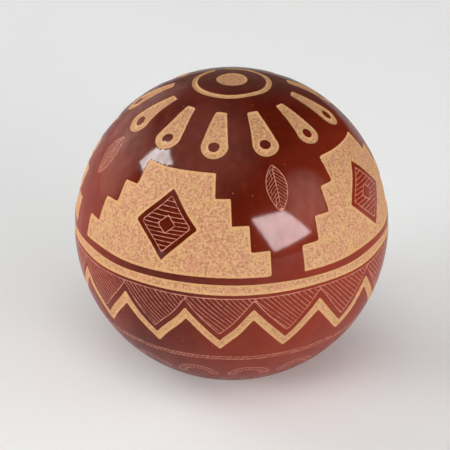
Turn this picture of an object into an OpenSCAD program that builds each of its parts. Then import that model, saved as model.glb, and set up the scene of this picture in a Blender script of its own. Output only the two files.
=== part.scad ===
// Round seed pot, coil-built in clay, with a burnished slip coat cut through to the clay.
// The table is at z = 0, the axis of the pot is Z, and the front of the pot faces -Y.

/* [Pot] */
// Outside diameter at the belly, over the slip
pot_d = 70; // [62:1:84]
// Thickness of the clay wall
wall = 4; // [3:0.25:5]

/* [Seed hole] */
// Diameter of the seed hole
seed_hole_d = 7.2; // [6.8:0.1:8]
// Rounding of the rim of the seed hole
hole_round = 0.8; // [0.4:0.1:1.2]
// Latitude of the seed hole
hole_lat = 57; // [54:1:60]
// Longitude of the seed hole, from the front towards the right
hole_turn = 200; // [170:1:230]
// Clay between the rim of the seed hole and the edge of the crown
crown_land = 1.8; // [1.5:0.1:4]
// How much thicker the crown is than the wall below it
crown_extra = 0.6; // [0.2:0.1:1]

/* [Base bowl] */
// Diameter of the flat that the pot stands on
foot_d = 19; // [15:1:24]
// Thickness of the floor over the foot
floor_t = 4; // [3:0.25:5]
// Height of the rim of the base bowl, where the first coil sits
base_h = 9; // [7:0.5:13]

/* [Coils] */
// Number of coils between the base bowl and the crown
coil_count = 9; // [6:1:12]
// How far each coil laps down the inside of the one below
lap = 2.5; // [1:0.25:4]
// How far the middle of each coil swells into the hollow
coil_swell = 0.35; // [0:0.05:0.6]

/* [Slip coat] */
// Thickness of the slip
slip_t = 0.3; // [0.2:0.05:0.5]
// Height above the table at which the slip stops
slip_edge_h = 0.5; // [0.3:0.1:1.5]

/* [Stepped clouds] */
// Number of clouds round the shoulder
cloud_count = 4; // [3:1:4]
// Latitude of the foot of a cloud
cloud_foot_lat = 8; // [7:0.5:10]
// Longitude that the foot of a cloud takes up
cloud_lon = 78; // [64:1:84]
// Steps in a cloud
cloud_steps = 4; // [3:1:4]
// Latitude that one step takes up
step_lat = 9; // [7:0.5:10]
// Longitude by which a step is shorter than the one below, at each end
step_lon = 7; // [4:0.5:9]
// Latitude of the middle of the diamond left uncut inside a cloud
diamond_lat = 24.5; // [22:0.5:27]
// Width of the diamond
diamond_w = 14; // [8:0.5:18]
// Height of the diamond
diamond_h = 15; // [8:0.5:17]

/* [Feather ring] */
// Number of places round the crown: the seed hole has one, and a feather each of the others
feather_count = 12; // [8:1:12]
// Latitude of the middle of a feather
feather_lat = 61; // [59:1:63]
// Length of a feather, without its round tip
feather_l = 9; // [6:0.5:10]
// Width of a feather at its quill end
quill_w = 2.2; // [1.2:0.1:2.6]
// Width of a feather at its tip
feather_w = 5.6; // [3.5:0.1:6]
// Diameter of the spot left uncut in the tip of a feather
spot_d = 2.4; // [1:0.1:2.8]
// Diameter of the sun at the top of the crown
sun_d = 7; // [4:0.5:10]

/* [Lines] */
// Latitude of the line round the belly
belly_line_lat = 3.5; // [2:0.5:4]
// Width of the line round the belly
belly_line_w = 2.2; // [1:0.1:2.6]
// Latitude of the line round the sun
sun_line_lat = 77; // [76:0.5:79]
// Width of the line round the sun
sun_line_w = 1.2; // [0.8:0.1:1.6]
// Gap between the rim of the seed hole and the line round it
hole_line_gap = 1.1; // [0.8:0.1:1.4]
// Width of the line round the seed hole
hole_line_w = 0.9; // [0.6:0.1:1.2]
// Peaks in the zigzag below the belly line
zigzag_count = 15; // [10:1:18]
// Latitude of the middle of the zigzag
zigzag_lat = -13.5; // [-17:0.5:-12.5]
// Height of a zigzag from valley to peak
zigzag_h = 9; // [6:0.5:11]
// Upright thickness of the zigzag line
zigzag_t = 2.8; // [1.6:0.1:3.2]
// Width of the gap that every line is left open by, below and above the seed hole
line_break_w = 2.4; // [1.5:0.1:4]

/* [Hidden] */

$fn = 120;
arc_steps = 8;
end_arc_steps = 20;
round_steps = 6;

pot_r = pot_d / 2;
clay_r = pot_r - slip_t;
hollow_r = clay_r - wall;
crown_hollow_r = hollow_r - crown_extra;
foot_r = foot_d / 2;
hole_r = seed_hole_d / 2;
rim_r = hole_r + hole_round;
// Height of the middle of the pot over the table
centre_z = sqrt(pow(clay_r, 2) - pow(foot_r, 2));

// Angles are measured at the middle of the pot, from straight down
base_a = acos((centre_z - base_h) / clay_r);
crown_a = 90 + hole_lat - asin(rim_r / clay_r) - crown_land / clay_r * 180 / PI;
coil_a = (crown_a - base_a) / coil_count;
lap_a = lap / hollow_r * 180 / PI;

// How far the rounding of a rim starts past the wall, so that the two cross
crossing = 0.02;

// Cutters of the slip reach from the hollow to well outside the pot
cutter_in = hollow_r;
cutter_out = pot_r + wall;

clay_colour = [0.80, 0.60, 0.43];
slip_colour = [0.44, 0.16, 0.11];

function polar(r, a) = [r * sin(a), centre_z - r * cos(a)];

function arc(r, a0, a1, steps) =
    [for (i = [0:steps]) polar(r, a0 + (a1 - a0) * i / steps)];

// Inside face of a coil from its top joint to its bottom joint, swollen in the middle
function swollen_arc(a0, a1) =
    [for (i = [0:arc_steps])
        polar(hollow_r - coil_swell * sin(180 * i / arc_steps), a0 + (a1 - a0) * i / arc_steps)];

function quarter(x, z, a0) =
    [for (i = [0:round_steps])
        let (a = a0 + 90 * i / round_steps)
        [x + hole_round * cos(a), z + hole_round * sin(a)]];

// Where the coil of number k meets the one below, on the outside
function joint_a(k) = base_a + (k - 1) * coil_a;

// Distance along the axis of the seed hole at which a sphere of radius r passes its rim
function rim_h(r) = sqrt(pow(r, 2) - pow(rim_r, 2));

module base_bowl() {
    foot_a = asin(foot_r / clay_r);
    floor_a = acos((centre_z - floor_t) / hollow_r);
    color(clay_colour)
        rotate_extrude()
            polygon(concat(
                [[0, 0]],
                arc(clay_r, foot_a, base_a, end_arc_steps),
                arc(hollow_r, base_a - lap_a, floor_a, end_arc_steps),
                [[0, floor_t]]
            ));
}

module wall_coil(k) {
    a0 = joint_a(k);
    a1 = joint_a(k + 1);
    color(clay_colour)
        rotate_extrude()
            polygon(concat(
                arc(clay_r, a0, a1, arc_steps),
                swollen_arc(a1 - lap_a, a0 - lap_a)
            ));
}

// Turns what is drawn round Z at the middle of the pot towards a latitude and a longitude
module facing(lat, lon) {
    translate([0, 0, centre_z])
        rotate([0, 0, lon])
            rotate([90 - lat, 0, 0])
                children();
}

// The room of the seed hole, which widens at both rims along their rounding
module seed_hole() {
    facing(hole_lat, hole_turn)
        rotate_extrude()
            polygon(concat(
                [[0, cutter_out], [rim_r, cutter_out]],
                quarter(rim_r, rim_h(clay_r) - hole_round + crossing, 90),
                quarter(rim_r, rim_h(crown_hollow_r) + hole_round - crossing, 180),
                [[rim_r, hollow_r - wall], [0, hollow_r - wall]]
            ));
}

// The crown sits on the top coil along the same slant as the coils on each other
module crown() {
    outside = polar(clay_r, crown_a);
    inside = polar(hollow_r, crown_a - lap_a);
    slant = outside - inside;
    top_z = centre_z + pot_r;
    color(clay_colour)
        difference() {
            intersection() {
                translate([0, 0, centre_z])
                    sphere(clay_r);
                rotate_extrude()
                    polygon([
                        [0, (inside - slant)[1]], inside - slant, outside + slant,
                        [(outside + slant)[0], top_z], [0, top_z]
                    ]);
            }
            translate([0, 0, centre_z])
                sphere(crown_hollow_r);
            seed_hole();
        }
}

// Sets a flat cutter drawn in X and Y, Y up, square to the pot at a latitude and a longitude
module on_pot(lat, lon, spare = 0) {
    facing(lat, lon)
        translate([0, 0, cutter_in - spare])
            linear_extrude(cutter_out - cutter_in + 2 * spare)
                children();
}

// A cutter between two cones from the middle of the pot, over a turn that starts at a longitude
module between(lat0, lat1, lon, turn, spare = 0) {
    r0 = cutter_in - spare;
    r1 = cutter_out + spare;
    way0 = [cos(lat0), sin(lat0)];
    way1 = [cos(lat1), sin(lat1)];
    translate([0, 0, centre_z])
        rotate([0, 0, lon - 90])
            rotate_extrude(angle = turn)
                polygon([r0 * way0, r1 * way0, r1 * way1, r0 * way1]);
}

// A cloud is a pile of blocks, each let into the one below and deeper by its spare reach
module cloud(lon) {
    for (k = [0:cloud_steps - 1])
        between(
            cloud_foot_lat + max(0, k - 0.5) * step_lat, cloud_foot_lat + (k + 1) * step_lat,
            lon - cloud_lon / 2 + k * step_lon, cloud_lon - 2 * k * step_lon, k
        );
}

module diamond(lon) {
    on_pot(diamond_lat, lon, 2 * cloud_steps)
        polygon([[diamond_w / 2, 0], [0, diamond_h / 2], [-diamond_w / 2, 0], [0, -diamond_h / 2]]);
}

// The seed hole lies over a gap between two clouds
module clouds() {
    for (k = [0:cloud_count - 1])
        let (lon = hole_turn + 360 * (k + 0.5) / cloud_count)
            difference() {
                cloud(lon);
                diamond(lon);
            }
}

module feathers() {
    for (k = [1:feather_count - 1])
        on_pot(feather_lat, hole_turn + 360 * k / feather_count)
            difference() {
                union() {
                    polygon([
                        [-quill_w / 2, feather_l / 2], [-feather_w / 2, -feather_l / 2],
                        [feather_w / 2, -feather_l / 2], [quill_w / 2, feather_l / 2]
                    ]);
                    translate([0, -feather_l / 2])
                        circle(d = feather_w);
                }
                translate([0, -feather_l / 2])
                    circle(d = spot_d);
            }
}

// A line right round the pot
module ring_line(lat, width) {
    half_a = width / 2 / pot_r * 180 / PI;
    between(lat - half_a, lat + half_a, 0, 360);
}

module hole_line() {
    line_r = rim_r + hole_line_gap;
    on_pot(hole_lat, hole_turn)
        difference() {
            circle(r = line_r + hole_line_w);
            circle(r = line_r);
        }
}

// Strokes of the zigzag cross at the valleys, where the line is cut level
module zigzag() {
    half_pitch = pot_r * cos(zigzag_lat) * sin(180 / zigzag_count);
    end = half_pitch + zigzag_t / 4;
    end_y = zigzag_h / 2 - zigzag_h * end / half_pitch;
    valley_y = -(zigzag_h + zigzag_t) / 2;
    valley_depth = sqrt(pow(pot_r, 2) - pow(half_pitch, 2) - pow(valley_y, 2));
    valley_lat = asin((valley_y * cos(zigzag_lat) + valley_depth * sin(zigzag_lat)) / pot_r);
    intersection() {
        between(valley_lat, belly_line_lat, 0, 360);
        for (k = [0:zigzag_count - 1])
            on_pot(zigzag_lat, hole_turn + 360 * k / zigzag_count)
                polygon([
                    [-end, end_y - zigzag_t / 2], [0, (zigzag_h - zigzag_t) / 2],
                    [end, end_y - zigzag_t / 2], [end, end_y + zigzag_t / 2],
                    [0, (zigzag_h + zigzag_t) / 2], [-end, end_y + zigzag_t / 2]
                ]);
    }
}

module lines() {
    difference() {
        union() {
            ring_line(belly_line_lat, belly_line_w);
            ring_line(sun_line_lat, sun_line_w);
            hole_line();
            zigzag();
        }
        rotate([0, 0, hole_turn])
            translate([-line_break_w / 2, -cutter_out, 0])
                cube([line_break_w, cutter_out, 2 * pot_d]);
    }
}

module slip_coat() {
    color(slip_colour)
        difference() {
            // The seam of the spheres is turned to the seed hole, where no cut has an edge
            translate([0, 0, centre_z])
                rotate([0, 0, hole_turn - 90])
                    difference() {
                        sphere(pot_r);
                        sphere(clay_r);
                    }
            translate([-pot_d, -pot_d, slip_edge_h - pot_d])
                cube([2 * pot_d, 2 * pot_d, pot_d]);
            on_pot(hole_lat, hole_turn)
                circle(r = rim_r);
            on_pot(90, 0)
                circle(d = sun_d);
            clouds();
            feathers();
            lines();
        }
}

base_bowl();
for (k = [1:coil_count])
    wall_coil(k);
crown();
slip_coat();
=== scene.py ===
"""Round seed pot under a burnished slip coat that is cut through to the clay.

Holds the surface of the slip, the finishes, the studio and the camera. Sizes of the pot are in
millimetres and its angles in degrees. Meshes are written in metres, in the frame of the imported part:
the table is at z = 0, the axis of the pot is Z and its front faces -Y.
"""

from __future__ import annotations

import logging
from dataclasses import dataclass, field
from enum import Enum
from math import asin, atan, cos, pi, radians, sin, sqrt, tan
from typing import Mapping, Sequence, Union

import bpy
import numpy as np
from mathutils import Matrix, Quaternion, Vector


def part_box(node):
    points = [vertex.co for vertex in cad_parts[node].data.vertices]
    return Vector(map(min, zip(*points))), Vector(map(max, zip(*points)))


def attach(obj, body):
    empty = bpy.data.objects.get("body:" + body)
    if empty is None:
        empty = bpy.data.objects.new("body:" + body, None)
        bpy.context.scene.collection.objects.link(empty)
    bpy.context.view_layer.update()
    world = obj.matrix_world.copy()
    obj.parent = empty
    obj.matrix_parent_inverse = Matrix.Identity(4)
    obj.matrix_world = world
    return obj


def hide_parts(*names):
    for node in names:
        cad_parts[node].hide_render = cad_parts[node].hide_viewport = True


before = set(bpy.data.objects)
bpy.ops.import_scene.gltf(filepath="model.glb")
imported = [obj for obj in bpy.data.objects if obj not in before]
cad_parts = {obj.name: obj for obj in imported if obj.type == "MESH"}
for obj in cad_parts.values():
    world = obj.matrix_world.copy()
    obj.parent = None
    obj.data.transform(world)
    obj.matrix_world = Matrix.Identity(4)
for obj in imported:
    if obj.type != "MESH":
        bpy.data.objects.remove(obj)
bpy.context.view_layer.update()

MM = 0.001
TURN = 2 * pi
BODY = "root"

# The screen's curve: straight up to a knee, and a power of the lifted channel above it
CHANNEL_TOP = 255
CURVE_KNEE = 0.04045
CURVE_SLOPE = 12.92
CURVE_LIFT = 0.055
CURVE_POWER = 2.4

Array = np.ndarray
Colour = tuple[float, float, float, float]
Range = tuple[float, float]
Triple = tuple[float, float, float]
Feed = Union["Signal", float, Sequence[float]]

log = logging.getLogger("seed_pot")


class Slot(Enum):
    """Material slots of the record."""

    CLAY = "clay"
    SLIP = "slip"


class Field(Enum):
    """Numbers that the slip surface carries at each vertex, for its material to read."""

    CUT = "cut"
    HAIR = "hair"
    HATCH_ROOM = "hatch_room"
    HATCH_TURN = "hatch_turn"


class Start(Enum):
    """Where a row of shapes round the pot starts, as a share of its pitch past the seed hole."""

    AT_HOLE = 0.0
    HALFWAY = 0.5


class Seen(Enum):
    """What a softbox does: light the scene, or show in the gloss."""

    LIGHT = "light"
    GLOSS = "gloss"


def screen_colour(red: int, green: int, blue: int) -> Colour:
    """Shader colour of an 8-bit screen colour.

    Args:
        red: Red channel, from 0 to 255.
        green: Green channel.
        blue: Blue channel.

    Returns:
        The linear colour: each channel taken back through the screen's curve.
    """
    channels = np.array([red, green, blue]) / CHANNEL_TOP
    curved = ((channels + CURVE_LIFT) / (1 + CURVE_LIFT)) ** CURVE_POWER
    linear = np.where(channels <= CURVE_KNEE, channels / CURVE_SLOPE, curved)
    return (*linear.tolist(), 1.0)


def smooth_step(value: Array, low: float, high: float) -> Array:
    """Goes from 0 at low to 1 at high along 3t² - 2t³, where t is the share of the way."""
    share = np.clip((value - low) / (high - low), 0, 1)
    return share * share * (3 - 2 * share)


def smooth_slope(value: Array, low: float, high: float) -> Array:
    """Slope of the smooth step, 6t(1 - t) over the length of the way."""
    share = np.clip((value - low) / (high - low), 0, 1)
    return 6 * share * (1 - share) / (high - low)


def picked(layers: Array, pick: Array) -> Array:
    """Takes at each point the layer of that number."""
    return np.take_along_axis(layers, pick[None], axis=0)[0]


def nearest(lines: Sequence[Array]) -> Array:
    """Signed distance to the nearest of several lines: at each point, the one of least size."""
    layers = np.stack(lines)
    return picked(layers, np.abs(layers).argmin(axis=0))


def way_from_pot(azimuth: float, elevation: float) -> Vector:
    """Unit way from the pot, by its angles from the front and over the table."""
    side, rise = radians(azimuth), radians(elevation)
    return Vector((cos(rise) * sin(side), -cos(rise) * cos(side), sin(rise)))


def surface_mesh(name: str, points: Array, closed: bool) -> bpy.types.Mesh:
    """Mesh of quads over a grid of points, with its faces towards columns × rows.

    Args:
        name: Name of the mesh.
        points: Grid of places in millimetres, rows × columns × 3.
        closed: Whether the last row and the last column join the first.

    Returns:
        The mesh, in metres and shaded smooth.
    """
    rows, columns = points.shape[:2]
    index = np.arange(rows * columns).reshape(rows, columns)
    if closed:
        index = np.pad(index, (0, 1), mode="wrap")
    corners = [index[:-1, :-1], index[:-1, 1:], index[1:, 1:], index[1:, :-1]]
    quads = np.stack(corners, axis=-1).reshape(-1, len(corners))
    mesh = bpy.data.meshes.new(name)
    mesh.from_pydata((points.reshape(-1, 3) * MM).tolist(), [], quads.tolist())
    mesh.shade_smooth()
    return mesh


def add_object(name: str, data: bpy.types.ID) -> bpy.types.Object:
    """Adds an object at the origin to the scene.

    Args:
        name: Name of the object.
        data: The mesh, lamp or camera that it shows.

    Returns:
        The object.
    """
    thing = bpy.data.objects.new(name, data)
    bpy.context.scene.collection.objects.link(thing)
    return thing


class Signal:
    """A shader socket that takes part in Python arithmetic: each operation adds a Math node."""

    def __init__(self, sheet: Sheet, socket: bpy.types.NodeSocket | None) -> None:
        """Keeps the sheet of nodes and the output socket."""
        self.sheet = sheet
        self.socket = socket

    def __add__(self, other: Feed) -> Signal:
        """Sum."""
        return self.sheet.maths("ADD", self, other)

    __radd__ = __add__

    def __sub__(self, other: Feed) -> Signal:
        """Difference."""
        return self.sheet.maths("SUBTRACT", self, other)

    def __rsub__(self, other: Feed) -> Signal:
        """Difference from a number."""
        return self.sheet.maths("SUBTRACT", other, self)

    def __mul__(self, other: Feed) -> Signal:
        """Product."""
        return self.sheet.maths("MULTIPLY", self, other)

    __rmul__ = __mul__

    def __abs__(self) -> Signal:
        """Size without its sign."""
        return self.sheet.maths("ABSOLUTE", self)

    def fraction(self) -> Signal:
        """Part past the whole number below."""
        return self.sheet.maths("FRACT", self)

    def or_more(self, other: Feed) -> Signal:
        """Larger of the two."""
        return self.sheet.maths("MAXIMUM", self, other)

    def between(self, low: float, high: float) -> Signal:
        """Goes straight from low to high as this goes from 0 to 1."""
        return self * (high - low) + low

    def step(self, low: float, high: float) -> Signal:
        """Goes from 0 to 1 along 3t² - 2t³, where t is the share of the way.

        Args:
            low: Value that gives 0.
            high: Value that gives 1.

        Returns:
            The smooth step.
        """
        settings = {"interpolation_type": "SMOOTHSTEP"}
        inputs = {"Value": self, "From Min": low, "From Max": high}
        return self.sheet.node("ShaderNodeMapRange", settings, inputs)

    def beside(self, output: str) -> Signal:
        """Another output of the same node."""
        return Signal(self.sheet, self.socket.node.outputs[output])


class Sheet:
    """The nodes of one material or world."""

    def __init__(self, owner: bpy.types.Material | bpy.types.World) -> None:
        """Starts an empty sheet of nodes.

        Args:
            owner: The material or world that the nodes are for.
        """
        owner.use_nodes = True
        self.tree = owner.node_tree
        self.tree.nodes.clear()

    def node(
        self,
        kind: str,
        settings: Mapping[str, object] | None = None,
        inputs: Mapping[str | int, Feed] | None = None,
        output: str | int = 0,
    ) -> Signal:
        """Adds a node.

        Args:
            kind: Type of the node.
            settings: Properties of the node, set before its sockets are used.
            inputs: Values or links of its sockets, by name or number.
            output: The output that is wanted.

        Returns:
            That output.
        """
        made = self.tree.nodes.new(kind)
        for name, value in (settings or {}).items():
            setattr(made, name, value)
        for name, value in (inputs or {}).items():
            if isinstance(value, Signal):
                self.tree.links.new(value.socket, made.inputs[name])
            else:
                made.inputs[name].default_value = value
        return Signal(self, made.outputs[output] if made.outputs else None)

    def maths(self, operation: str, *values: Feed) -> Signal:
        """Adds a Math node on one or two values."""
        return self.node("ShaderNodeMath", {"operation": operation}, dict(enumerate(values)))

    def vectors(self, operation: str, *values: Feed, output: str = "Vector") -> Signal:
        """Adds a Vector Math node on some values."""
        inputs = dict(enumerate(values))
        return self.node("ShaderNodeVectorMath", {"operation": operation}, inputs, output)

    def mix(self, share: Feed, first: Feed, second: Feed) -> Signal:
        """Colour that goes from the first to the second as share goes from 0 to 1."""
        return self.node("ShaderNodeMix", {"data_type": "RGBA"}, {0: share, 6: first, 7: second}, 2)

    def place(self) -> Signal:
        """Place on the piece in its own frame, in metres."""
        return self.node("ShaderNodeTexCoord", output="Object")

    def carried(self, name: Field) -> Signal:
        """A number that the mesh carries at its vertices."""
        return self.node("ShaderNodeAttribute", {"attribute_name": name.value}, output="Fac")

    def stretched(self, place: Signal, scale: Triple) -> Signal:
        """Place scaled along each axis."""
        return self.node("ShaderNodeMapping", {"vector_type": "POINT"}, {"Vector": place, "Scale": scale})

    def cloudy(self, place: Signal, grain: float, detail: float = 2.0) -> Signal:
        """Soft noise from 0 to 1 whose patches are about grain millimetres across."""
        inputs = {"Vector": place, "Scale": 1 / (grain * MM), "Detail": detail, "Distortion": 0.0}
        return self.node("ShaderNodeTexNoise", {}, inputs)

    def bump(self, height: Signal, distance: float) -> Signal:
        """Normal of a surface raised by height times a distance in millimetres."""
        inputs = {"Height": height, "Distance": distance * MM, "Strength": 1.0}
        return self.node("ShaderNodeBump", {}, inputs)

    def principled(self, inputs: Mapping[str | int, Feed]) -> Signal:
        """Principled shader with these sockets."""
        return self.node("ShaderNodeBsdfPrincipled", {}, inputs)

    def show(self, shader: Signal) -> None:
        """Ends a material in a shader."""
        self.node("ShaderNodeOutputMaterial", {}, {"Surface": shader})


@dataclass(frozen=True)
class Paint:
    """What a finish gives a shader: its colour, roughness, height and the weight of its gloss."""

    colour: Signal
    roughness: Signal
    height: Signal
    gloss: Feed = 0.0


@dataclass(frozen=True)
class Specks:
    """Round dots of a size, one in each cell of a pitch, in a share of the cells."""

    pitch: float
    size: float
    share: float
    solid_share: float = 0.6
    chance_blur: float = 0.02

    def laid(self, sheet: Sheet, place: Signal) -> Signal:
        """Lays a dot round the point of each cell whose own chance falls within the share.

        Args:
            sheet: Nodes of the material.
            place: Place on the piece.

        Returns:
            1 in a dot and 0 outside.
        """
        inputs = {"Vector": place, "Scale": 1 / (self.pitch * MM)}
        cell = sheet.node("ShaderNodeTexVoronoi", {}, inputs, "Distance")
        chance = sheet.node("ShaderNodeSeparateColor", {}, {"Color": cell.beside("Color")}, "Red")
        half = self.size / 2 / self.pitch
        dot = 1 - cell.step(half * self.solid_share, half)
        return dot * (1 - chance.step(self.share - self.chance_blur, self.share + self.chance_blur))


@dataclass(frozen=True)
class BareClay:
    """Buff clay, stippled all over with fine dots where the slip was scraped off."""

    pale: Colour = screen_colour(195, 150, 110)
    dark: Colour = screen_colour(154, 105, 72)
    pink: Colour = screen_colour(184, 126, 98)
    straw: Colour = screen_colour(188, 149, 94)
    scraped_edge: Colour = screen_colour(196, 150, 99)
    fleck: Colour = screen_colour(112, 66, 46)
    dot_grain: float = 0.5
    dot_range: Range = (0.34, 0.66)
    patch_grain: float = 1.7
    patch_detail: float = 3.0
    patch_range: Range = (0.5, 0.65)
    patch_share: float = 0.5
    edge_range: Range = (0.28, 0.7)
    edge_share: float = 0.7
    flecks: Specks = Specks(pitch=2.2, size=0.4, share=0.3)
    roughness: Range = (0.6, 0.7)

    def paint(self, sheet: Sheet, place: Signal, clean_edge: Feed) -> Paint:
        """Lays pale and dark dots, then slow patches of pink and straw, and a few flecks.

        Args:
            sheet: Nodes of the material.
            place: Place on the piece.
            clean_edge: 1 where the knife left a clean edge, 0 inside.

        Returns:
            The clay's paint.
        """
        dots = sheet.cloudy(place, self.dot_grain).step(*self.dot_range)
        colour = sheet.mix(dots, self.dark, self.pale)
        patches = sheet.cloudy(place, self.patch_grain, self.patch_detail)
        for noise, tone in ((patches, self.pink), (1 - patches, self.straw)):
            colour = sheet.mix(noise.step(*self.patch_range) * self.patch_share, colour, tone)
        colour = sheet.mix(clean_edge * self.edge_share, colour, self.scraped_edge)
        colour = sheet.mix(self.flecks.laid(sheet, place), colour, self.fleck)
        return Paint(colour, dots.between(*self.roughness), dots)


@dataclass(frozen=True)
class LitSide:
    """A side of the pot painted lighter and redder as painted light and sheen, from low to high
    millimetres along a way.
    """

    way: Triple
    low: float
    high: float

    def share(self, sheet: Sheet, place: Signal) -> Signal:
        """Share of the painted lit tone at a place."""
        along = sheet.vectors("DOT_PRODUCT", place, self.way, output="Value")
        return along.step(self.low * MM, self.high * MM)


@dataclass(frozen=True)
class BurnishedSlip:
    """Dark red slip, rubbed with a stone until it shines, and painted lighter and redder on two sides as
    painted light and sheen.
    """

    # red is the painted lit tone of the lit sides (painted light and sheen) and the top of the mottle;
    # dark is the slip's tone away from them.
    red: Colour = screen_colour(128, 42, 23)
    dark: Colour = screen_colour(73, 18, 7)
    pale: Colour = screen_colour(106, 33, 19)
    pit: Colour = screen_colour(176, 112, 86)
    # The lit sides: painted light and sheen on the right, front and lower side, and on the left side.
    lit_sides: tuple[LitSide, ...] = (
        LitSide(way=(0.85, -0.24, -0.47), low=-23.0, high=12.0),
        LitSide(way=(-1.0, 0.0, 0.0), low=16.0, high=36.0),
    )
    lit_share: float = 0.85
    mottle_grain: float = 5.0
    mottle_detail: float = 4.0
    mottle_range: Range = (0.35, 0.65)
    streak_grain: float = 1.6
    streak_scale: Triple = (1.0, 1.0, 0.12)
    streak_range: Range = (0.5, 0.8)
    streak_share: float = 0.3
    pits: Specks = Specks(pitch=2.1, size=0.3, share=0.3)
    pit_share: float = 0.7
    rubbed_range: Range = (0.3, 0.7)
    gloss: Range = (0.37, 0.51)
    roughness: Range = (0.35, 0.5)

    def paint(self, sheet: Sheet, place: Signal) -> Paint:
        """Lays the slip's dark tone and the painted light and sheen of its lit sides, mottling, faint
        streaks of the burnishing stone and pale pits.

        Args:
            sheet: Nodes of the material.
            place: Place on the piece.

        Returns:
            The slip's paint.
        """
        painted_lit: Feed = 0.0
        # Painted light and sheen: towards the lit sides the slip is painted lighter and redder.
        for side in self.lit_sides:
            painted_lit = side.share(sheet, place).or_more(painted_lit)
        mottle = sheet.cloudy(place, self.mottle_grain, self.mottle_detail).step(*self.mottle_range)
        lit_and_mottle = painted_lit * self.lit_share + mottle * (1 - self.lit_share)
        colour = sheet.mix(lit_and_mottle, self.dark, self.red)
        streaks = sheet.cloudy(sheet.stretched(place, self.streak_scale), self.streak_grain)
        colour = sheet.mix(streaks.step(*self.streak_range) * self.streak_share, colour, self.pale)
        pits = self.pits.laid(sheet, place)
        colour = sheet.mix(pits * self.pit_share, colour, self.pit)
        gloss = streaks.step(*self.rubbed_range).between(*self.gloss)
        return Paint(colour, streaks.between(*self.roughness), 1 - pits, gloss)


@dataclass(frozen=True)
class CutSlip:
    """Finish of the slip surface: burnished slip, bare clay in the cuts, and scratched hairlines."""

    slip: BurnishedSlip = field(default_factory=BurnishedSlip)
    clay: BareClay = field(default_factory=BareClay)
    hairline: Colour = screen_colour(196, 134, 114)
    hairline_width: float = 0.16
    hatch_width: float = 0.12
    hatch_pitch: float = 0.85
    edge_blur: float = 0.05
    press_grain: float = 1.0
    press_range: Range = (0.3, 0.6)
    press: Range = (0.4, 1.0)
    line_depth: float = 0.8
    relief: float = 0.05
    slip_specular: float = 0.0
    coat_roughness: float = 0.09
    coat_ior: float = 1.5
    clay_specular: float = 0.25

    def stroke(self, off: Signal, width: float) -> Signal:
        """1 on a stroke of a width, by the distance off its middle."""
        return 1 - off.step(width / 2 - self.edge_blur, width / 2 + self.edge_blur)

    def hairlines(self, sheet: Sheet, place: Signal) -> Signal:
        """Draws the nearest single line and the lines of the hatched field at hand.

        A hatched field counts its lines from one to the next, so the distance off the nearest is
        how far the count is from a whole number, times the pitch. The hand's pressure comes and goes.

        Args:
            sheet: Nodes of the material.
            place: Place on the piece.

        Returns:
            Up to 1 on a scratched line and 0 off it.
        """
        single = self.stroke(abs(sheet.carried(Field.HAIR)), self.hairline_width)
        off_hatch = abs((sheet.carried(Field.HATCH_TURN) + 0.5).fraction() - 0.5) * self.hatch_pitch
        inside = sheet.carried(Field.HATCH_ROOM).step(0.0, 2 * self.edge_blur)
        hatch = self.stroke(off_hatch, self.hatch_width) * inside
        pressed = sheet.cloudy(place, self.press_grain).step(*self.press_range)
        return single.or_more(hatch) * pressed.between(*self.press)

    def material(self) -> bpy.types.Material:
        """Mixes slip, with a clear gloss over it, and clay, with none, by where the slip is cut.

        Returns:
            Material of the slip surface.
        """
        made = bpy.data.materials.new("cut_slip")
        sheet = Sheet(made)
        place = sheet.place()
        cut = sheet.carried(Field.CUT)
        bare = cut.step(-self.edge_blur, self.edge_blur)
        clay = self.clay.paint(sheet, place, 1 - cut.step(*self.clay.edge_range))
        slip = self.slip.paint(sheet, place)
        line = self.hairlines(sheet, place) * (1 - bare)
        scratched = line * self.line_depth
        height = clay.height * bare + (slip.height - scratched) * (1 - bare)
        normal = sheet.bump(height, self.relief)
        burnished = sheet.principled({
            "Base Color": sheet.mix(line, slip.colour, self.hairline),
            "Roughness": slip.roughness,
            "Specular IOR Level": self.slip_specular,
            "Coat Weight": slip.gloss * (1 - scratched),
            "Coat Roughness": self.coat_roughness,
            "Coat IOR": self.coat_ior,
            "Normal": normal,
        })
        scraped = sheet.principled({
            "Base Color": clay.colour,
            "Roughness": clay.roughness,
            "Specular IOR Level": self.clay_specular,
            "Normal": normal,
        })
        sheet.show(sheet.node("ShaderNodeMixShader", {}, {0: bare, 1: burnished, 2: scraped}))
        return made


@dataclass(frozen=True)
class InsideClay:
    """Finish of the clay pieces themselves, on the foot and inside the seed hole."""

    clay: BareClay = field(default_factory=BareClay)
    specular: float = 0.4
    relief: float = 0.05

    def material(self) -> bpy.types.Material:
        """Paints bare clay all over.

        Returns:
            Material of the clay pieces.
        """
        made = bpy.data.materials.new("bare_clay")
        sheet = Sheet(made)
        paint = self.clay.paint(sheet, sheet.place(), 0.0)
        sheet.show(sheet.principled({
            "Base Color": paint.colour,
            "Roughness": paint.roughness,
            "Specular IOR Level": self.specular,
            "Normal": sheet.bump(paint.height, self.relief),
        }))
        return made


@dataclass(frozen=True)
class PaperFloor:
    """Finish of the pale paper that the pot stands on."""

    pale: Colour = screen_colour(245, 246, 245)
    shade: Colour = screen_colour(242, 243, 243)
    cloud_grain: float = 40.0
    cloud_detail: float = 3.0
    roughness: float = 0.9
    specular: float = 0.1

    def material(self) -> bpy.types.Material:
        """Paints matte paper with a faint cloudiness.

        Returns:
            Material of the floor.
        """
        made = bpy.data.materials.new("paper_floor")
        sheet = Sheet(made)
        cloud = sheet.cloudy(sheet.place(), self.cloud_grain, self.cloud_detail)
        sheet.show(sheet.principled({
            "Base Color": sheet.mix(cloud, self.shade, self.pale),
            "Roughness": self.roughness,
            "Specular IOR Level": self.specular,
        }))
        return made


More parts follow.
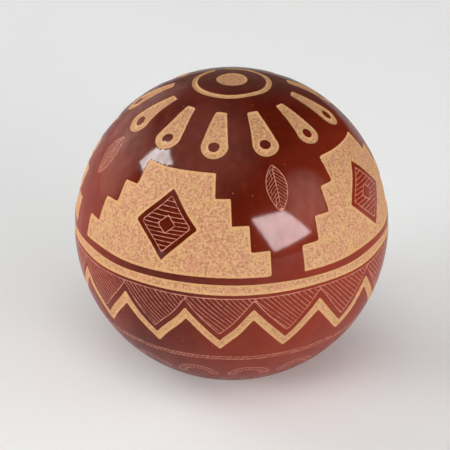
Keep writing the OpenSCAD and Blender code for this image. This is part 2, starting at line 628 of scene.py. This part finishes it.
@dataclass(frozen=True)
class SeedHole:
    """The seed hole on the far side of the pot, with the lip of slip and the line round it."""

    lat: float = 57.0
    turn: float = 200.0
    radius: float = 3.48
    lip_round: float = 0.95
    lip_depth: float = 1.2
    line_radius: float = 5.95
    line_width: float = 0.9

    def ways(self) -> Array:
        """Works out the frame of the hole from its latitude and its turn round the pot.

        Returns:
            Unit ways to the east of the hole, to its north and out of it, as rows.
        """
        lat, lon = radians(self.lat), radians(self.turn)
        east = (cos(lon), sin(lon), 0.0)
        north = (-sin(lat) * sin(lon), sin(lat) * cos(lon), cos(lat))
        out = (cos(lat) * sin(lon), -cos(lat) * cos(lon), sin(lat))
        return np.array([east, north, out])

    def seen_from(self, points: Array) -> Array:
        """Distances of places to the east, to the north and out along the axis of the hole."""
        return points @ self.ways().T


@dataclass(frozen=True)
class PotForm:
    """Outside of the pot, measured from its middle, and the edges of the slip on it."""

    radius: float
    middle_z: float
    hole: SeedHole = field(default_factory=SeedHole)
    slip_thickness: float = 0.27
    lip_thickness: float = 0.08
    lip_rows: int = 10
    wall_rows: int = 3
    far_end: float = 0.0005
    slip_edge_z: float = 0.5
    edge_height: float = 0.5
    edge_depth: float = 0.75
    hidden_z: float = 0.3

    @classmethod
    def from_frame(cls, solid_slip: float = 0.3) -> PotForm:
        """Form that fits the solids.

        Args:
            solid_slip: Thickness of the slip coat's solid.

        Returns:
            The form: its radius is half the slip coat's box, and its middle lies under the top of the
            crown by the radius less the slip.
        """
        low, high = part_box("slip_coat")
        radius = min(high.x - low.x, high.y - low.y) / 2 / MM
        crown_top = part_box("crown")[1].z / MM
        return cls(radius, crown_top - radius + solid_slip)

    def outline(self, step: float) -> tuple[Array, Array]:
        """Outside of the slip in a half plane of the hole's axis, from its far end into the hole.

        An arc of the sphere runs from the far end to the lip, an arc of a small circle that touches
        the sphere rolls over the lip, and a straight wall goes down into the hole.

        Args:
            step: Step along the sphere.

        Returns:
            Points as (distance from the axis, distance out), and the outward directions there.
        """
        hole = self.hole
        lip_side = hole.radius + hole.lip_round
        lip_angle = asin(lip_side / (self.radius - hole.lip_round))
        lip_out = (self.radius - hole.lip_round) * cos(lip_angle)
        count = int((pi - lip_angle) * self.radius / step)
        ball = np.linspace(pi - self.far_end, lip_angle, count, endpoint=False)
        lip = np.linspace(lip_angle, -pi / 2, self.lip_rows)
        wall = np.linspace(0, hole.lip_depth, self.wall_rows + 1)[1:]
        angle = np.concatenate([ball, lip, np.full(wall.shape, -pi / 2)])
        facing = np.stack([np.sin(angle), np.cos(angle)], axis=-1)
        rolled = np.array([lip_side, lip_out]) + hole.lip_round * facing[count:]
        rolled[self.lip_rows:, 1] -= wall
        return np.concatenate([self.radius * facing[:count], rolled]), facing

    def revolve(self, profile: Array, columns: int) -> Array:
        """Carries a profile round the axis of the hole: its sides turn with the angle round it.

        Args:
            profile: Rows of (distance from the axis, distance out).
            columns: How many steps the turn has.

        Returns:
            Grid of vectors from the middle of the pot.
        """
        lon = np.linspace(0, TURN, columns, endpoint=False)
        around = np.stack([np.sin(lon), -np.cos(lon)], axis=-1)
        level = profile[:, None, :1] * around[None]
        outward = np.broadcast_to(profile[:, None, 1:], (*level.shape[:2], 1))
        return np.concatenate([level, outward], axis=-1) @ self.hole.ways()

    def tuck(self, points: Array) -> Array:
        """Depth by which the slip turns into the clay at the foot.

        Args:
            points: Places from the middle of the pot.

        Returns:
            The depth: it grows smoothly as the height over the table falls to the slip's edge.
        """
        height = points[..., 2] + self.middle_z
        edge_top = self.slip_edge_z + self.edge_height
        return self.edge_depth * smooth_step(-height, -edge_top, -self.slip_edge_z)

    def skin(self, points: Array) -> Array:
        """Depth of the inside of the slip under its outside.

        Args:
            points: Places on the outside, with a row for each point of the outline.

        Returns:
            The slip's thickness, or the lip's in the last rows, and the tuck at the foot.
        """
        thickness = np.full((len(points), 1), self.slip_thickness)
        thickness[-self.lip_rows - self.wall_rows:] = self.lip_thickness
        return thickness + self.tuck(points)

    def lifted(self, points: Array) -> Array:
        """Lifts places over the table.

        Args:
            points: Places from the middle of the pot.

        Returns:
            Places over the table, none lower than the hidden level inside the foot.
        """
        over = points + [0, 0, self.middle_z]
        over[..., 2] = np.maximum(over[..., 2], self.hidden_z)
        return over


@dataclass(frozen=True)
class CutDesign:
    """Design cut through the slip: stepped clouds, a ring of feathers, a sun, lines and a zigzag.

    Every shape is given by its inset, the distance inside its edge in millimetres, negative outside.
    Points are places from the middle of the pot. The design starts from the seed hole's meridian.
    """

    radius: float
    hole: SeedHole
    cloud_count: int = 4
    cloud_foot_lat: float = 8.0
    cloud_lon: float = 78.0
    cloud_steps: int = 4
    step_lat: float = 9.0
    step_lon: float = 7.0
    diamond_lat: float = 24.5
    diamond_w: float = 14.0
    diamond_h: float = 15.0
    feather_count: int = 12
    feather_lat: float = 61.0
    feather_l: float = 9.0
    quill_w: float = 2.2
    feather_w: float = 5.6
    spot_d: float = 2.4
    sun_d: float = 7.0
    belly_line_lat: float = 3.5
    belly_line_w: float = 2.2
    sun_line_lat: float = 77.0
    sun_line_w: float = 1.2
    zigzag_count: int = 15
    zigzag_lat: float = -13.5
    zigzag_h: float = 9.0
    zigzag_t: float = 2.8
    line_break_w: float = 2.4

    def longing(self, points: Array, count: int, start: Start = Start.AT_HOLE) -> Array:
        """Longitude in radians from the nearest of several meridians round the pot.

        Args:
            points: Places from the middle of the pot.
            count: How many meridians there are.
            start: Where the first one lies.

        Returns:
            The longitude, folded into one pitch so that all the meridians are worked out as one.
        """
        pitch = TURN / count
        lon = np.arctan2(points[..., 0], -points[..., 1])
        lon = lon - radians(self.hole.turn) - start.value * pitch
        return (lon + pitch / 2) % pitch - pitch / 2

    def northing(self, points: Array, lat: float) -> Array:
        """Distance north of a latitude along the surface: the radius times the angle between."""
        upward = points[..., 2] / np.linalg.norm(points, axis=-1)
        return self.radius * (np.arcsin(np.clip(upward, -1, 1)) - radians(lat))

    def panel(
        self, points: Array, lat: float, count: int, start: Start = Start.AT_HOLE
    ) -> tuple[Array, Array]:
        """Places on the nearest of several flat panels, square to the pot at a latitude.

        Args:
            points: Places from the middle of the pot.
            lat: Latitude of the panels.
            count: How many panels there are.
            start: Where the first one lies.

        Returns:
            Distances east and north of the middle of the panel.
        """
        lon = self.longing(points, count, start)
        level = np.hypot(points[..., 0], points[..., 1])
        tilt = radians(lat)
        return level * np.sin(lon), points[..., 2] * cos(tilt) - level * np.cos(lon) * sin(tilt)

    def diamonds(self, points: Array) -> Array:
        """Inset of the diamonds left uncut in the clouds.

        Args:
            points: Places from the middle of the pot.

        Returns:
            The inset: what is left of the way from the centre to one of four straight sides.
        """
        east, north = self.panel(points, self.diamond_lat, self.cloud_count, Start.HALFWAY)
        share = np.abs(east) * 2 / self.diamond_w + np.abs(north) * 2 / self.diamond_h
        return (1 - share) / np.hypot(2 / self.diamond_w, 2 / self.diamond_h)

    def clouds(self, points: Array) -> Array:
        """Inset of the clouds.

        Args:
            points: Places from the middle of the pot.

        Returns:
            The inset of the union of their steps, each between two meridians and two latitudes, less
            the diamonds.
        """
        lon = np.abs(self.longing(points, self.cloud_count, Start.HALFWAY))
        level = np.hypot(points[..., 0], points[..., 1])
        rise = self.northing(points, self.cloud_foot_lat)
        step = np.arange(self.cloud_steps)[:, None, None]
        half = np.radians(self.cloud_lon / 2 - step * self.step_lon)
        top = self.radius * np.radians((step + 1) * self.step_lat)
        sides = np.minimum((half - lon) * level, np.minimum(rise, top - rise))
        return np.minimum(sides.max(axis=0), -self.diamonds(points))

    def feathers(self, points: Array) -> Array:
        """Inset of the feathers. The seed hole takes the place of one of them.

        Args:
            points: Places from the middle of the pot.

        Returns:
            The inset of a tapered blade and a round tip, less the spot in the tip.
        """
        east, north = self.panel(points, self.feather_lat, self.feather_count)
        reach = north + self.feather_l / 2
        taper = (self.feather_w - self.quill_w) / 2 / self.feather_l
        half = self.feather_w / 2 - taper * reach
        sides = (half - np.abs(east)) * cos(atan(taper))
        blade = np.minimum(sides, self.feather_l / 2 - np.abs(north))
        from_tip = np.hypot(east, reach)
        whole = np.maximum(blade, self.feather_w / 2 - from_tip)
        whole = np.minimum(whole, from_tip - self.spot_d / 2)
        at_hole = np.abs(self.longing(points, 1)) < pi / self.feather_count
        return np.where(at_hole, -self.feather_w, whole)

    def sun(self, points: Array) -> Array:
        """Inset of the round sun at the top of the crown."""
        inset = self.sun_d / 2 - np.hypot(points[..., 0], points[..., 1])
        return np.where(points[..., 2] > 0, inset, -self.radius)

    def stroke_slope(self) -> float:
        """Fall of a stroke of the zigzag along the pot: its height over half a pitch."""
        level = self.radius * cos(radians(self.zigzag_lat))
        return self.zigzag_h / (level * sin(pi / self.zigzag_count))

    def over_zigzag(self, points: Array) -> Array:
        """Distance over the middle of the zigzag.

        Args:
            points: Places from the middle of the pot.

        Returns:
            The distance, square to the strokes, which fall to both sides of each peak.
        """
        east, north = self.panel(points, self.zigzag_lat, self.zigzag_count)
        slope = self.stroke_slope()
        return (north - self.zigzag_h / 2 + slope * np.abs(east)) * cos(atan(slope))

    def lines(self, points: Array) -> Array:
        """Inset of the lines round the pot and the hole.

        Args:
            points: Places from the middle of the pot.

        Returns:
            The largest inset of the lines, each left open by a break at the hole.
        """
        belly = self.belly_line_w / 2 - np.abs(self.northing(points, self.belly_line_lat))
        sun = self.sun_line_w / 2 - np.abs(self.northing(points, self.sun_line_lat))
        stroke = self.zigzag_t / 2 * cos(atan(self.stroke_slope()))
        zigzag = stroke - np.abs(self.over_zigzag(points))
        east, north, out = np.moveaxis(self.hole.seen_from(points), -1, 0)
        from_line = np.abs(np.hypot(east, north) - self.hole.line_radius)
        at_hole = np.where(out > 0, self.hole.line_width / 2 - from_line, -self.radius)
        inset = np.maximum.reduce([belly, sun, zigzag, at_hole])
        broken = np.minimum(inset, np.abs(east) - self.line_break_w / 2)
        return np.where(np.abs(self.longing(points, 1)) < pi / 2, broken, inset)

    def inset(self, points: Array) -> Array:
        """Inset of the whole cut design: the largest of its shapes' insets."""
        shapes = (self.clouds, self.feathers, self.sun, self.lines)
        return np.maximum.reduce([shape(points) for shape in shapes])


@dataclass(frozen=True)
class ScratchedDesign:
    """Hairlines scratched into the slip between the cuts, with hatched fields."""

    cut: CutDesign
    hatch_pitch: float
    diamond_margin: float = 1.1
    diamond_border: float = 2.6
    leaf_lat: float = 38.0
    leaf_l: float = 10.0
    leaf_w: float = 4.6
    bay_margin: float = 0.75
    ring_lats: tuple[float, ...] = (-27.0, -28.7)
    arch_lat: float = -43.0
    arch_count: int = 15
    arch_radius: float = 4.5
    arch_width: float = 1.5

    def leaf(self, points: Array) -> tuple[Array, Array, Array]:
        """Leaves between the clouds: where two circles of one size overlap.

        Args:
            points: Places from the middle of the pot.

        Returns:
            Their inset, and the distances east and north of the middle of the leaf.
        """
        east, north = self.cut.panel(points, self.leaf_lat, self.cut.cloud_count)
        half = self.leaf_w / 2
        circle = (self.leaf_l**2 / 4 + half**2) / (2 * half)
        return circle - np.hypot(np.abs(east) + circle - half, north), east, north

    def bay(self, points: Array) -> Array:
        """Inset of the bays between the belly line and the zigzag, less a margin.

        Args:
            points: Places from the middle of the pot.

        Returns:
            The lesser of the distances to the two lines.
        """
        cut = self.cut
        over_zigzag = cut.over_zigzag(points) - cut.zigzag_t / 2
        under_belly = -cut.northing(points, cut.belly_line_lat) - cut.belly_line_w / 2
        return np.minimum(over_zigzag, under_belly) - self.bay_margin

    def arch(self, points: Array) -> tuple[Array, Array]:
        """Arches low on the pot: the upper half of a ring.

        Args:
            points: Places from the middle of the pot.

        Returns:
            Their inset, and the angle round the arch from its top.
        """
        east, north = self.cut.panel(points, self.arch_lat, self.arch_count)
        half = self.arch_width / 2
        inset = half - np.abs(self.arch_radius - half - np.hypot(east, north))
        return np.minimum(inset, north), np.arctan2(east, north)

    def fields(self, points: Array) -> dict[Field, Array]:
        """Works out the single hairlines and the hatched fields.

        Args:
            points: Places from the middle of the pot.

        Returns:
            Signed distance to the nearest hairline, room inside the hatched field at hand, and the
            count of hatch lines passed there.
        """
        diamond = self.cut.diamonds(points) - self.diamond_margin
        border = np.minimum(diamond, self.diamond_border - diamond)
        leaf, leaf_east, leaf_north = self.leaf(points)
        bay = self.bay(points)
        arch, arch_angle = self.arch(points)
        stem = np.where(leaf > 0, leaf_east, self.leaf_l)
        rings = [self.cut.northing(points, lat) for lat in self.ring_lats]
        upward = points[..., 2]
        around = self.cut.longing(points, 1, Start.HALFWAY) * self.cut.radius
        rooms = np.stack([border, leaf, bay, arch])
        passed = np.stack([
            upward,
            leaf_north + np.abs(leaf_east),
            (around + upward) / sqrt(2),
            arch_angle * self.arch_radius,
        ])
        pick = rooms.argmax(axis=0)
        return {
            Field.HAIR: nearest([border, leaf, bay, arch, stem, *rings]),
            Field.HATCH_ROOM: picked(rooms, pick),
            Field.HATCH_TURN: picked(passed, pick) / self.hatch_pitch,
        }


@dataclass
class SlipSurface:
    """The slip coat: a thin closed skin with the design sunk into it."""

    form: PotForm
    finish: CutSlip
    columns: int = 384
    step: float = 0.5
    inside_stride: int = 8
    cut_depth: float = 0.2
    cut_slope: float = 0.5
    wave_depth: float = 0.012
    wave_length: float = 9.0
    wave_phase: float = 1.7
    wave_cross: float = 0.62
    hand_drift: float = 0.16
    hand_length: float = 11.0
    hand_phase: float = 0.4

    def waves(self, points: Array, length: float, phase: float) -> Array:
        """Three sine waves, one for each axis, each crossed by a share of the axis before it.

        Args:
            points: Places from the middle of the pot.
            length: Length of the waves.
            phase: Where the first one starts.

        Returns:
            The three waves, from -1 to 1.
        """
        turns = points / length * TURN
        crossed = np.roll(turns, 1, axis=-1) * self.wave_cross
        return np.sin(turns + crossed + phase + np.arange(3))

    def design(self, points: Array) -> dict[Field, Array]:
        """Works out the cut and the scratched design at points moved by slow waves, as a hand drifts.

        Args:
            points: Places from the middle of the pot.

        Returns:
            The fields that the surface carries.
        """
        drawn = points + self.hand_drift * self.waves(points, self.hand_length, self.hand_phase)
        cut = CutDesign(self.form.radius, self.form.hole)
        scratched = ScratchedDesign(cut, self.finish.hatch_pitch)
        return {Field.CUT: cut.inset(drawn), **scratched.fields(drawn)}

    def slopes(self, height: Array, points: Array) -> Array:
        """Slope of a height over the surface, as a vector along it.

        Args:
            height: Heights on the grid.
            points: Places on the grid.

        Returns:
            The change of height per length along the columns and along the rows, each times the
            unit direction there, by differences between the neighbours on both sides.
        """
        east = np.roll(points, -1, axis=1) - np.roll(points, 1, axis=1)
        east_rise = np.roll(height, -1, axis=1) - np.roll(height, 1, axis=1)
        north = np.gradient(points, axis=0)
        north_rise = np.gradient(height, axis=0)
        total = np.zeros_like(points)
        for way, rise in ((east, east_rise), (north, north_rise)):
            total += way * (rise / (way**2).sum(axis=-1))[..., None]
        return total

    def relief(self, points: Array, cut: Array) -> tuple[Array, Array]:
        """Lowers the surface by the cuts, by faint waves of burnishing and by the tuck at the foot.

        Args:
            points: Places on the smooth outside.
            cut: Inset of the cut design there.

        Returns:
            The depth, and the tilt of the normals: the slope of what was lowered. A cut's slope is
            that of its inset times that of the smooth step down its edge.
        """
        wave = self.waves(points, self.wave_length, self.wave_phase).mean(axis=-1)
        lowered = self.wave_depth * (1 + wave) + self.form.tuck(points)
        sunk = self.cut_depth * smooth_step(cut, 0, self.cut_slope)
        lean = self.cut_depth * smooth_slope(cut, 0, self.cut_slope)
        tilt = self.slopes(cut, points) * lean[..., None] + self.slopes(lowered, points)
        return sunk + lowered, tilt

    def build(self) -> bpy.types.Object:
        """Builds the skin as one surface that is closed both ways.

        The outside follows the pot's outline round the axis of the seed hole, and is lowered. The
        inside repeats every few rows of the smooth outside, moved in by the thickness. Normals are
        those of the smooth form, tilted by the slope of what was lowered.

        Returns:
            The slip surface.
        """
        form = self.form
        outline, facing = form.outline(self.step)
        outside = form.revolve(outline, self.columns)
        normals = form.revolve(facing, self.columns)
        fields = self.design(outside)
        depth, tilt = self.relief(outside, fields[Field.CUT])
        rows = np.arange(len(outline))[:: -self.inside_stride]
        shown = outside - normals * depth[..., None]
        inside = (outside - normals * form.skin(outside)[..., None])[rows]
        mesh = surface_mesh("slip_surface", form.lifted(np.concatenate([shown, inside])), closed=True)
        for name, values in fields.items():
            carried = mesh.attributes.new(name.value, "FLOAT", "POINT")
            both = np.concatenate([values, values[rows]]).astype(np.float32)
            carried.data.foreach_set("value", both.ravel())
        tilted = np.concatenate([normals + tilt, -normals[rows]])
        tilted /= np.linalg.norm(tilted, axis=-1, keepdims=True)
        mesh.normals_split_custom_set_from_vertices(tilted.reshape(-1, 3).tolist())
        return add_object("slip_surface", mesh)

    def dress(self, piece: bpy.types.Object) -> None:
        """Gives the skin its finish and its place among the solids.

        Args:
            piece: The slip surface.
        """
        piece.data.materials.append(self.finish.material())
        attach(piece, BODY)
        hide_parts("slip_coat")


@dataclass
class ClayWall:
    """The clay pieces under the slip: the base bowl, the coils and the crown."""

    finish: InsideClay

    def dress(self) -> list[bpy.types.Object]:
        """Gives every clay solid the finish of bare clay.

        Returns:
            The clay solids.
        """
        material = self.finish.material()
        solids = [solid for name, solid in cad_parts.items() if name != "slip_coat"]
        for solid in solids:
            for slot in solid.material_slots:
                slot.material = material
        return solids


@dataclass(frozen=True)
class SoftBox:
    """A softbox placed by its angles from the front and over the table.

    It faces the pot, then is tipped and swung away from it and rolled, about its own three axes.
    """

    name: str
    azimuth: float
    elevation: float
    width: float
    height: float
    radiance: float
    seen: Seen = Seen.LIGHT
    tip: float = 0.0
    swing: float = 0.0
    roll: float = 0.0
    tint: Triple = (1.0, 1.0, 1.0)
    distance: float = 2.0

    def build(self, target: Vector) -> None:
        """Adds an area lamp whose power is its radiance times pi times its area.

        Args:
            target: The place that it faces before it is turned.
        """
        data = bpy.data.lights.new(self.name, "AREA")
        data.shape = "RECTANGLE"
        data.size = self.width
        data.size_y = self.height
        data.energy = self.radiance * pi * self.width * self.height
        data.color = self.tint
        lamp = add_object(self.name, data)
        way = way_from_pot(self.azimuth, self.elevation)
        lamp.location = target + way * self.distance
        turn = way.to_track_quat("Z", "Y")
        for axis, angle in zip(np.eye(3), (self.tip, self.swing, self.roll)):
            turn = turn @ Quaternion(axis, radians(angle))
        lamp.rotation_euler = turn.to_euler()
        lamp.visible_diffuse = self.seen is Seen.LIGHT
        lamp.visible_glossy = self.seen is Seen.GLOSS


@dataclass(frozen=True)
class Glow:
    """A soft patch of the room's wall that shows in the gloss, round a way from the pot."""

    azimuth: float
    elevation: float
    radius: float
    light: Triple

    def share(self, sheet: Sheet, ray: Signal) -> Signal:
        """Share of the glow that a ray meets: 1 at its middle, 0 at its radius.

        Args:
            sheet: Nodes of the world.
            ray: Way of the ray.

        Returns:
            The share, by the cosine of the angle between the ray and the middle of the glow.
        """
        middle = way_from_pot(self.azimuth, self.elevation)
        near = sheet.vectors("DOT_PRODUCT", ray, middle, output="Value")
        return near.step(cos(radians(self.radius)), 1.0)


@dataclass
class Studio:
    """Pale paper, soft lamps, a dim room and the camera."""

    middle: Vector
    pot_radius: float
    floor_half: float = 3000.0
    elevation: float = 27.0
    distance: float = 0.40
    image_px: float = 450.0
    outline_px: float = 156.8
    middle_px: tuple[float, float] = (231.5, 223.5)
    sensor: float = 36.0
    clip: Range = (0.01, 20.0)
    fill: float = 0.19
    room: float = 0.005
    lamps: tuple[SoftBox, ...] = (
        SoftBox("window_right", azimuth=38, elevation=13, width=1.3, height=0.75, radiance=7.7),
        SoftBox("screen_right", azimuth=82, elevation=14, width=1.4, height=1.0, radiance=3.6),
        SoftBox("window_left", azimuth=-69, elevation=12, width=1.2, height=0.75, radiance=11.9),
        SoftBox("screen_left", azimuth=-120, elevation=25, width=1.4, height=1.2, radiance=2.9),
        SoftBox("front_high", azimuth=0, elevation=60, width=1.2, height=1.2, radiance=2.0),
        SoftBox("glint_right", azimuth=38.9, elevation=20.7, width=1.17, height=1.17, radiance=24.0,
                seen=Seen.GLOSS, tip=54.6, swing=-21.2, roll=28.4, tint=(1.0, 0.88, 0.88)),
        SoftBox("glint_left", azimuth=-92, elevation=42, width=0.66, height=0.66, radiance=25.0,
                seen=Seen.GLOSS),
    )
    glows: tuple[Glow, ...] = (
        Glow(azimuth=67, elevation=27, radius=24, light=(4.6, 3.0, 2.6)),
        Glow(azimuth=-118, elevation=17, radius=26, light=(3.2, 2.2, 1.9)),
        Glow(azimuth=-146, elevation=13, radius=24, light=(1.4, 0.9, 0.8)),
        Glow(azimuth=-75, elevation=68, radius=50, light=(1.9, 1.2, 1.0)),
        Glow(azimuth=-165, elevation=20, radius=50, light=(0.45, 0.36, 0.3)),
    )

    def floor(self) -> None:
        """Lays flat paper under the pot: a grid of two rows and two columns."""
        side = np.array([-self.floor_half, self.floor_half])
        east, north = np.meshgrid(side, side)
        points = np.stack([east, north, np.zeros_like(east)], axis=-1)
        floor = add_object("paper_floor", surface_mesh("paper_floor", points, closed=False))
        floor.data.materials.append(PaperFloor().material())

    def world(self) -> None:
        """Makes an even fill light, which gloss sees as a dim room with soft warm glows on its walls."""
        world = bpy.data.worlds.new("studio")
        bpy.context.scene.world = world
        sheet = Sheet(world)
        ray = sheet.node("ShaderNodeTexCoord", output="Generated")
        gloss: Feed = (self.room,) * 3
        for glow in self.glows:
            gloss = sheet.vectors("MULTIPLY_ADD", glow.light, glow.share(sheet, ray), gloss)
        is_gloss = sheet.node("ShaderNodeLightPath", output="Is Glossy Ray")
        colour = sheet.mix(is_gloss, (self.fill,) * 3 + (1.0,), gloss)
        light = sheet.node("ShaderNodeBackground", {}, {"Color": colour, "Strength": 1.0})
        sheet.node("ShaderNodeOutputWorld", {}, {"Surface": light})

    def camera(self) -> None:
        """Camera that sees the pot's outline at its size and place in the picture.

        The focal length in pixels is the outline's radius over the tangent of the angle that the
        pot's radius takes up. The camera aims beside the middle of the pot by the picture's offset.
        """
        data = bpy.data.cameras.new("camera")
        camera = add_object("camera", data)
        focal_px = self.outline_px / tan(asin(self.pot_radius * MM / self.distance))
        data.sensor_width = self.sensor
        data.lens = focal_px * self.sensor / self.image_px
        data.clip_start, data.clip_end = self.clip
        tilt = radians(self.elevation)
        back = Vector((0, -cos(tilt), sin(tilt)))
        upward = Vector((0, sin(tilt), cos(tilt)))
        scale = self.distance / focal_px
        right_px = self.middle_px[0] - self.image_px / 2
        up_px = self.image_px / 2 - self.middle_px[1]
        aim = self.middle - Vector((right_px * scale, 0, 0)) - upward * up_px * scale
        camera.location = self.middle + back * self.distance
        camera.rotation_euler = (aim - camera.location).to_track_quat("-Z", "Y").to_euler()
        bpy.context.scene.camera = camera

    def build(self) -> None:
        """Builds the floor, the lamps, the world and the camera."""
        self.floor()
        for lamp in self.lamps:
            lamp.build(self.middle)
        self.world()
        self.camera()
        bpy.context.scene.view_settings.view_transform = "Standard"


def main() -> None:
    """Builds the slip, the clay and the studio in order."""
    logging.basicConfig(level=logging.INFO, format="%(name)s: %(message)s")
    form = PotForm.from_frame()
    slip = SlipSurface(form, CutSlip())
    piece = slip.build()
    slip.dress(piece)
    log.info("%s: %s, %d faces", piece.name, Slot.SLIP.value, len(piece.data.polygons))
    for solid in ClayWall(InsideClay()).dress():
        log.info("%s: %s, %d faces", solid.name, Slot.CLAY.value, len(solid.data.polygons))
    Studio(Vector((0, 0, form.middle_z * MM)), form.radius).build()


if __name__ == "__main__":
    main()
